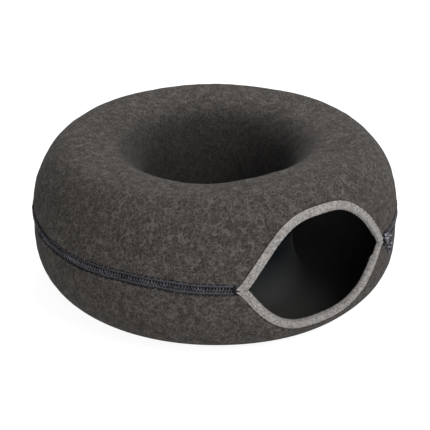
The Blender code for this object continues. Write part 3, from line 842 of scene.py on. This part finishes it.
COVER_LONG = 0.0078
COVER_WIDE = 0.0060
COVER_NARROW = 0.0046
COVER_LOW = 0.0023
COVER_HIGH = 0.0037
BACK_HIGH = -0.0024
BACK_LOW = -0.0036
BACK_NARROWER = 0.001
CAST_ROUND = 0.0005
CAST_FACE = CAST_ROUND * 2.2
POST_LONG = 0.0018
POST_WIDE = 0.0011
POST_NARROW = 0.0008
POST_FROM_MIDDLE = 0.0050
POST_LET_IN = 0.0004
FLANGE_LONG = COVER_LONG * 0.88
FLANGE_HALF = 0.0009
FLANGE_IN = 0.0012
FLANGE_LOW = -0.0006
FLANGE_LET_IN = 0.0006
BRIDGE_LONG = 0.0062
BRIDGE_HIGH = 0.0070
BRIDGE_HALF = 0.0011
BRIDGE_THICK = 0.00052
BRIDGE_LET_IN = 0.0006
BRIDGE_STEPS = 25
BRIDGE_BEND_TOP = 3.2
BRIDGE_BEND_SIDE = 2.2
BRIDGE_SQUARE = 0.6
PULL_MIDDLE = 0.0064
PULL_HALF = 0.0034
PULL_WINDOW = 0.0019
PULL_TOP = 0.0032
PULL_FOOT = -0.0245
PULL_THICK = 0.0016
PULL_SQUARE = 2 / 3.4
PULL_MEAN = 1.08
PULL_TAPER = 0.22
PULL_TAPER_AT = 0.1
WINDOW_OVER_BRIDGE = 0.0003
WINDOW_FOOT = -0.0048
# The pull's section: share of the way from its outline to its window, and share of its thickness.
PULL_SECTION = np.array(
    [
        (0.0, 0.35),
        (0.05, 0.75),
        (0.18, 1.0),
        (0.40, 0.88),
        (0.60, 0.88),
        (0.82, 1.0),
        (0.95, 0.75),
        (1.0, 0.35),
    ]
)
METAL_DARK_AND_SHADE = (0.012, 0.012, 0.018)
METAL_LIGHT_AND_GLINTS = (0.50, 0.49, 0.55)
METAL_MOTTLE = 1.8
METAL_SHADE = 0.42

metal_finish, tree, shader, spot = new_finish("gunmetal_plating", Roughness=0.42, Metallic=0.6)
# Painted glints and shade: the plating's strong mottle runs from near black to light grey.
shade = mottled(tree, spot, Patches=0.6, Clumps=0.8, Tufts=2.4, Specks=0.8)
ground = sum_up(tree, "MULTIPLY_ADD", shade, METAL_MOTTLE, METAL_SHADE)
tree.links.new(mixed_colour(tree, ground, METAL_DARK_AND_SHADE, METAL_LIGHT_AND_GLINTS), shader.inputs["Base Color"])

slider_out = facing(upper, np.array([SLIDER_AT]), np.array([0.0]))[0]
slider_along = np.array([math.cos(SLIDER_AT), math.sin(SLIDER_AT), 0.0])
slider_up = np.cross(slider_out, slider_along)
slider_up /= np.linalg.norm(slider_up)
slider_turn = np.stack([np.cross(slider_up, slider_out), slider_up, slider_out])
slider_spot = place(upper, np.array([SLIDER_AT]), np.array([0.0]), np.array([0.0]))[0]


def cast_slab(name, outline, low, high):
    """A slab with rounded edges in the slider's frame: X along the zip, Y up, Z out of the felt."""
    ahead = np.roll(outline, -1, axis=0) - np.roll(outline, 1, axis=0)
    inward = np.stack([-ahead[:, 1], ahead[:, 0]], 1) / np.linalg.norm(ahead, axis=1, keepdims=True)
    bend = np.radians([0, 30, 60, 90])
    inset = CAST_ROUND * (1 - np.sin(bend))
    rise = CAST_ROUND * (1 - np.cos(bend))
    insets = np.concatenate(([CAST_FACE], inset, inset[::-1], [CAST_FACE]))
    heights = np.concatenate(([low], low + rise, high - rise[::-1], [high]))
    rings = outline[None] + inward[None] * insets[:, None, None]
    shape = np.concatenate((rings, np.broadcast_to(heights[:, None, None], rings.shape[:2] + (1,))), 2)
    return lay_grid(name, slider_spot + shape @ slider_turn, round_across=True)


def round_outline(corners, power):
    """X and Y of a closed outline between a circle, at power 1, and a square, at power 0."""
    turn = np.arange(corners) * math.tau / corners
    return [np.sign(part) * np.abs(part) ** power for part in (np.cos(turn), np.sin(turn))]


def soft_outline(long, wide, narrow, fullness=3.0, corners=40):
    """A closed outline, wide at its -X end and narrow at its +X end."""
    x, y = round_outline(corners, 2 / fullness)
    return np.stack([long * x, y * (wide + (narrow - wide) * (x + 1) / 2)], 1)


cover = soft_outline(COVER_LONG, COVER_WIDE, COVER_NARROW)
back_plate = soft_outline(COVER_LONG, COVER_WIDE - BACK_NARROWER, COVER_NARROW - BACK_NARROWER)
post = soft_outline(POST_LONG, POST_WIDE, POST_NARROW, fullness=2.5, corners=20)
post = post - np.array([[POST_FROM_MIDDLE, 0.0]])
slider_parts = [
    cast_slab("zip_slider_cover", cover, COVER_LOW, COVER_HIGH),
    cast_slab("zip_slider_back", back_plate, BACK_LOW, BACK_HIGH),
    cast_slab("zip_slider_post", post, BACK_LOW + POST_LET_IN, COVER_HIGH - POST_LET_IN),
]
flange = soft_outline(FLANGE_LONG, FLANGE_HALF, FLANGE_HALF, fullness=5.0)
lean_in = (COVER_WIDE - COVER_NARROW) / 2
for name, side in (("zip_slider_flange_upper", 1), ("zip_slider_flange_lower", -1)):
    at_side = side * ((COVER_WIDE + COVER_NARROW) / 2 - FLANGE_IN)
    tilted = flange.copy()
    tilted[:, 1] = tilted[:, 1] + at_side - side * tilted[:, 0] / COVER_LONG * lean_in
    slider_parts.append(cast_slab(name, tilted, FLANGE_LOW, COVER_LOW + FLANGE_LET_IN))
arch = np.linspace(-1, 1, BRIDGE_STEPS)
arch_x = BRIDGE_LONG * arch
arch_rise = (1 - np.abs(arch) ** BRIDGE_BEND_TOP) ** (1 / BRIDGE_BEND_SIDE)
arch_z = COVER_HIGH - BRIDGE_LET_IN + (BRIDGE_HIGH - COVER_HIGH + BRIDGE_LET_IN) * arch_rise
arch_turn = np.arctan2(np.gradient(arch_z), np.gradient(arch_x))
arch_y, arch_n = round_outline(12, BRIDGE_SQUARE)
arch_y = BRIDGE_HALF * arch_y
arch_n = BRIDGE_THICK * arch_n
arch_points = np.stack(
    [
        arch_x[:, None] - np.sin(arch_turn)[:, None] * arch_n[None],
        arch_y[None] + 0 * arch_x[:, None],
        arch_z[:, None] + np.cos(arch_turn)[:, None] * arch_n[None],
    ],
    -1,
)
arch_points = slider_spot + arch_points @ slider_turn
slider_parts.append(lay_grid("zip_slider_bridge", arch_points, round_across=True))

pull_z, pull_y = round_outline(64, PULL_SQUARE)
pull_tall = (PULL_TOP - PULL_FOOT) / 2
outer_y = (PULL_TOP + PULL_FOOT) / 2 + pull_tall * pull_y
taper = PULL_MEAN + PULL_TAPER * np.clip(pull_y + PULL_TAPER_AT, -1, 1)
outer_z = PULL_MIDDLE + PULL_HALF * pull_z * taper
window_top = BRIDGE_HALF + WINDOW_OVER_BRIDGE
inner_y = (window_top + WINDOW_FOOT) / 2 + (window_top - WINDOW_FOOT) / 2 * pull_y
inner_z = PULL_MIDDLE + PULL_WINDOW * pull_z
share, thick = PULL_SECTION.T
thick = PULL_THICK / 2 * thick
share = np.concatenate((share, share[::-1]))[None]
thick = np.concatenate((thick, -thick[::-1]))[None]
pull_points = np.stack(
    [
        thick + 0 * outer_y[:, None],
        outer_y[:, None] + (inner_y - outer_y)[:, None] * share,
        outer_z[:, None] + (inner_z - outer_z)[:, None] * share,
    ],
    -1,
)
pull_points = slider_spot + pull_points @ slider_turn
pull = lay_grid("zip_pull_cast", pull_points, round_along=True, round_across=True)
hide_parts("zip_slider")
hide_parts("zip_pull")
for piece in (*slider_parts, pull):
    piece.data.materials.append(metal_finish)
    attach(piece, "root")


# The mouth's bindings. Each is a ribbed, light grey woven tape, folded over the felt's cut edge and
# sewn through, so that it puffs up a little between its stitches. The two meet along the zip.

BINDING = 0.0012
BINDING_GAP = 0.00045
BINDING_GAP_INSIDE = 0.0008
THIN_TAPE_BACK = 0.0037
BINDING_STATIONS = 220
BINDING_TURN = math.radians(75)
FOLD_CENTRE = 0.0012
FOLD_REACH = 0.0015
FOLD_FULLNESS = 2.5
LEG_STEPS = 15
FOLD_STEPS = 14
PUFF_PITCH = 0.0080
PUFF_HIGH = 0.00045
PUFF_WAVES = (0.020, 0.060)
PUFF_SHIFT = 0.8
# The outer leg swells as a half wave does: where in the wave it starts, and how much it covers.
PUFF_FROM = 0.04
PUFF_SHARE = 0.92
EDGE_UNEVEN = 0.0005
FOLD_UNEVEN = 0.0004
TIP_BLUNT = 0.0022
TIP_ROUND = 0.0010
TIP_REACH = 0.006
TIP_SLIT = 0.0014
TIP_DEEP = 0.0045
SEWN_IN = 0.0021
SEWN_DEEP = 0.0004
SEWN_WIDE = 0.0006
SELVEDGE = 0.00025

BINDING_DARK = (0.215, 0.200, 0.190)
BINDING_LIGHT = (0.56, 0.53, 0.51)
BINDING_MOTTLE = 1.5
BINDING_SHADE = 0.30
BINDING_RIBS = 0.40

binding_finish, tree, shader, spot = new_finish(
    "light_grey_binding", Roughness=0.85, Specular_IOR_Level=0.3, Sheen_Weight=0.2, Sheen_Roughness=0.4
)
weave_map = shader_node(tree, "ShaderNodeUVMap", uv_map="weave").outputs[0]
ribs = use_group(
    tree, woven, {"Map": weave_map, "Rib Pitch": 0.0016, "Pick Pitch": 0.0014, "Pick Share": 0.9}
)
shade = mottled(tree, spot, Patches=0.25, Clumps=0.4, Tufts=1.5, Specks=1.0)
shade = sum_up(tree, "MULTIPLY_ADD", shade, BINDING_MOTTLE, BINDING_SHADE)
ground = sum_up(tree, "MULTIPLY_ADD", ribs["Height"], BINDING_RIBS, shade)
tree.links.new(mixed_colour(tree, ground, BINDING_DARK, BINDING_LIGHT), shader.inputs["Base Color"])
add_bump(tree, shader, ribs["Height"], strength=0.7, distance=0.0005)


def mouth_binding(name, half, cut_height, bound_height):
    """The folded tape from corner to corner: outer leg, fold, inner leg, and back along its inside."""
    turn = BINDING_TURN * np.linspace(-1, 1, BINDING_STATIONS)[:, None]
    across = np.sin(turn) / math.sin(BINDING_TURN)
    cut_angle = across * np.where(across > 0, CUT_RIGHT, CUT_LEFT)
    bound_angle = across * np.where(across > 0, BOUND_RIGHT, BOUND_LEFT)
    cut = outline_run(half, cut_angle, CUT_LEFT, CUT_RIGHT, cut_height, half["cut_point"])
    bound = outline_run(half, bound_angle, BOUND_LEFT, BOUND_RIGHT, bound_height, half["point"])
    to_tip = (np.where(across > 0, BOUND_RIGHT, BOUND_LEFT) - np.abs(bound_angle)) * RING_R
    blunt = TIP_BLUNT * np.sqrt(np.clip(to_tip / TIP_ROUND, 0, 1))
    bound = bound + blunt * np.exp(-((to_tip / TIP_REACH) ** 2))
    wide = np.hypot((bound_angle - cut_angle) * RING_R, bound - cut)
    back = np.maximum(felt_thickness(bound + FELT) + BINDING_GAP_INSIDE, THIN_TAPE_BACK)
    line = bare_face(half, bound_angle[:, 0], np.maximum(bound[:, 0], SEAM_HALF_GAP))
    along = np.concatenate(([0.0], np.cumsum(np.linalg.norm(np.diff(line, axis=0), axis=1))))
    uneven = waves(line, 41, *PUFF_WAVES)[:, None]
    puff = 0.5 + 0.5 * np.cos(math.tau * along[:, None] / PUFF_PITCH + PUFF_SHIFT * uneven)
    leg = np.linspace(1, 0, LEG_STEPS)[None]
    bend = np.radians(np.linspace(90, -90, FOLD_STEPS + 2)[1:-1])[None]
    bend_x = np.cos(bend) ** (2 / FOLD_FULLNESS)
    bend_y = np.sign(bend) * np.abs(np.sin(bend)) ** (2 / FOLD_FULLNESS)
    steps = []
    depths = []
    for thick, swollen in ((BINDING, 1.0), (0.0, 0.0)):
        front = -BINDING_GAP - thick
        behind = back + thick
        middle = (front + behind) / 2
        deep = (behind - front) / 2
        end = wide + swollen * EDGE_UNEVEN * (puff - 0.5)
        fold = FOLD_CENTRE + FOLD_REACH - BINDING + thick + swollen * FOLD_UNEVEN * (puff - 0.5)
        rise = swollen * PUFF_HIGH * puff * np.sin(math.pi * (leg * PUFF_SHARE + PUFF_FROM))
        outer_x = FOLD_CENTRE + (end - FOLD_CENTRE) * leg
        sewn = np.exp(-(((end - outer_x - SEWN_IN) / SEWN_WIDE) ** 2))
        rise = rise - swollen * SEWN_DEEP * sewn
        fold_x = FOLD_CENTRE - fold * bend_x
        inner_x = FOLD_CENTRE + (wide - FOLD_CENTRE) * leg[:, ::-1]
        steps.append(np.concatenate((outer_x, fold_x, inner_x), 1))
        depths.append(
            np.concatenate((front - rise, middle - deep * bend_y, behind + 0 * inner_x), 1)
        )
    steps[0][:, 0] -= SELVEDGE
    steps[0][:, -1] -= SELVEDGE
    step = np.concatenate((steps[0], steps[1][:, ::-1]), 1)
    depth = np.concatenate((depths[0], depths[1][:, ::-1]), 1)
    share = step / wide
    angle = cut_angle + (bound_angle - cut_angle) * share
    from_tip = np.maximum(np.where(across > 0, BOUND_RIGHT, BOUND_LEFT) - np.abs(angle), 0.0) * RING_R
    slit = TIP_SLIT * np.sqrt(np.clip(1 - from_tip / TIP_DEEP, 0, 1))
    run = np.maximum(cut + (bound - cut) * share, SEAM_HALF_GAP + slit)
    points = place(half, angle, run, depth)
    middle = BINDING_STATIONS // 2
    over = np.concatenate(
        ([0.0], np.cumsum(np.hypot(np.diff(step[middle]), np.diff(depth[middle]))), [0.0])
    )
    over[-1] = over[-2] + BINDING
    binding = lay_grid(name, points, round_across=True, along=along, across=over)
    binding.data.materials.append(binding_finish)
    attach(binding, "root")
    return binding


upper_binding = mouth_binding("mouth_binding_upper_tape", upper, CUT_UP, BOUND_UP)
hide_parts("mouth_binding_upper")
lower_binding = mouth_binding("mouth_binding_lower_tape", lower, CUT_DOWN, BOUND_DOWN)
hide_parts("mouth_binding_lower")


# The studio: a pale floor before a white wall, soft light from all round, and three large lamps: one
# behind at the right, one low at the left and one higher in front. The camera stands where the
# photograph was taken from.

WHITE = (1.0, 1.0, 1.0, 1.0)
FLOOR_HALF = 40.0
FLOOR_GREY = (0.40, 0.40, 0.40, 1.0)
FLOOR_SEEN = 0.90
FLOOR_LIGHT = 0.15
WALL_SEEN = 1.0
WALL_LIGHT = 0.235
LAMP_AWAY = 2.6
LAMP_WIDE = 1.4
# Each lamp's azimuth and elevation in degrees, and its watts.
LAMPS = {
    "back_lamp": (131.0, 54.0, 35.0),
    "low_lamp": (-26.0, 9.0, 20.5),
    "front_lamp": (14.0, 40.0, 22.0),
}

floor_mesh = bpy.data.meshes.new("floor")
floor_mesh.from_pydata(
    [
        (-FLOOR_HALF, -FLOOR_HALF, 0.0),
        (FLOOR_HALF, -FLOOR_HALF, 0.0),
        (FLOOR_HALF, FLOOR_HALF, 0.0),
        (-FLOOR_HALF, FLOOR_HALF, 0.0),
    ],
    [],
    [(0, 1, 2, 3)],
)
floor = bpy.data.objects.new("floor", floor_mesh)
bpy.context.scene.collection.objects.link(floor)
floor_finish, tree, shader, spot = new_finish("pale_floor", Roughness=0.9, Specular_IOR_Level=0.1)
shader.inputs["Base Color"].default_value = FLOOR_GREY
seen = tree.nodes.new("ShaderNodeLightPath").outputs["Is Camera Ray"]
glow = shader_node(tree, "ShaderNodeEmission", {"Strength": FLOOR_SEEN})
lit = shader_node(tree, "ShaderNodeEmission", {"Strength": FLOOR_LIGHT})
lift = shader_node(tree, "ShaderNodeMixShader", {0: seen, 1: lit.outputs[0], 2: glow.outputs[0]})
both = shader_node(tree, "ShaderNodeAddShader", {0: shader.outputs[0], 1: lift.outputs[0]})
tree.links.new(both.outputs[0], tree.nodes["Material Output"].inputs["Surface"])
floor.data.materials.append(floor_finish)

world = bpy.data.worlds.new("studio")
world.use_nodes = True
tree = world.node_tree
sky = tree.nodes["Background"]
sky.inputs["Color"].default_value = WHITE
sky.inputs["Strength"].default_value = WALL_LIGHT
wall = shader_node(tree, "ShaderNodeBackground", {"Color": WHITE, "Strength": WALL_SEEN})
seen = tree.nodes.new("ShaderNodeLightPath").outputs["Is Camera Ray"]
either = shader_node(tree, "ShaderNodeMixShader", {0: seen, 1: sky.outputs[0], 2: wall.outputs[0]})
tree.links.new(either.outputs[0], tree.nodes["World Output"].inputs["Surface"])
bpy.context.scene.world = world

SIGHT = Vector((0.0, ring_y, BASE_DROP))


def direction(azimuth, elevation):
    """The way from the ring to a place. Azimuth 0 is in front of the mouth, 90 degrees at its right."""
    level = math.cos(elevation)
    return Vector((math.sin(azimuth) * level, -math.cos(azimuth) * level, math.sin(elevation)))


for name, (azimuth, elevation, watts) in LAMPS.items():
    lamp = bpy.data.objects.new(name, bpy.data.lights.new(name, "AREA"))
    lamp.data.size = LAMP_WIDE
    lamp.data.energy = watts
    back = direction(math.radians(azimuth), math.radians(elevation))
    lamp.location = SIGHT + back * LAMP_AWAY
    lamp.rotation_euler = back.to_track_quat("Z", "Y").to_euler()
    bpy.context.scene.collection.objects.link(lamp)

CAMERA_AZIMUTH = math.radians(-34.4)
CAMERA_ELEVATION = math.radians(25.69)
CAMERA_AWAY = 2.0
CAMERA_DIP = math.radians(0.584)
SENSOR = 36.0
LENS_PX = 1441.5
FRAME_PX = 430

camera = bpy.data.objects.new("camera", bpy.data.cameras.new("camera"))
camera.data.sensor_width = SENSOR
camera.data.lens = LENS_PX / FRAME_PX * SENSOR
back = direction(CAMERA_AZIMUTH, CAMERA_ELEVATION)
camera.location = SIGHT + back * CAMERA_AWAY
dip = Matrix.Rotation(-CAMERA_DIP, 3, Vector((math.cos(CAMERA_AZIMUTH), math.sin(CAMERA_AZIMUTH), 0.0)))
camera.rotation_euler = (dip @ back).to_track_quat("Z", "Y").to_euler()
bpy.context.scene.collection.objects.link(camera)
bpy.context.scene.camera = camera
bpy.context.scene.view_settings.view_transform = "Standard"
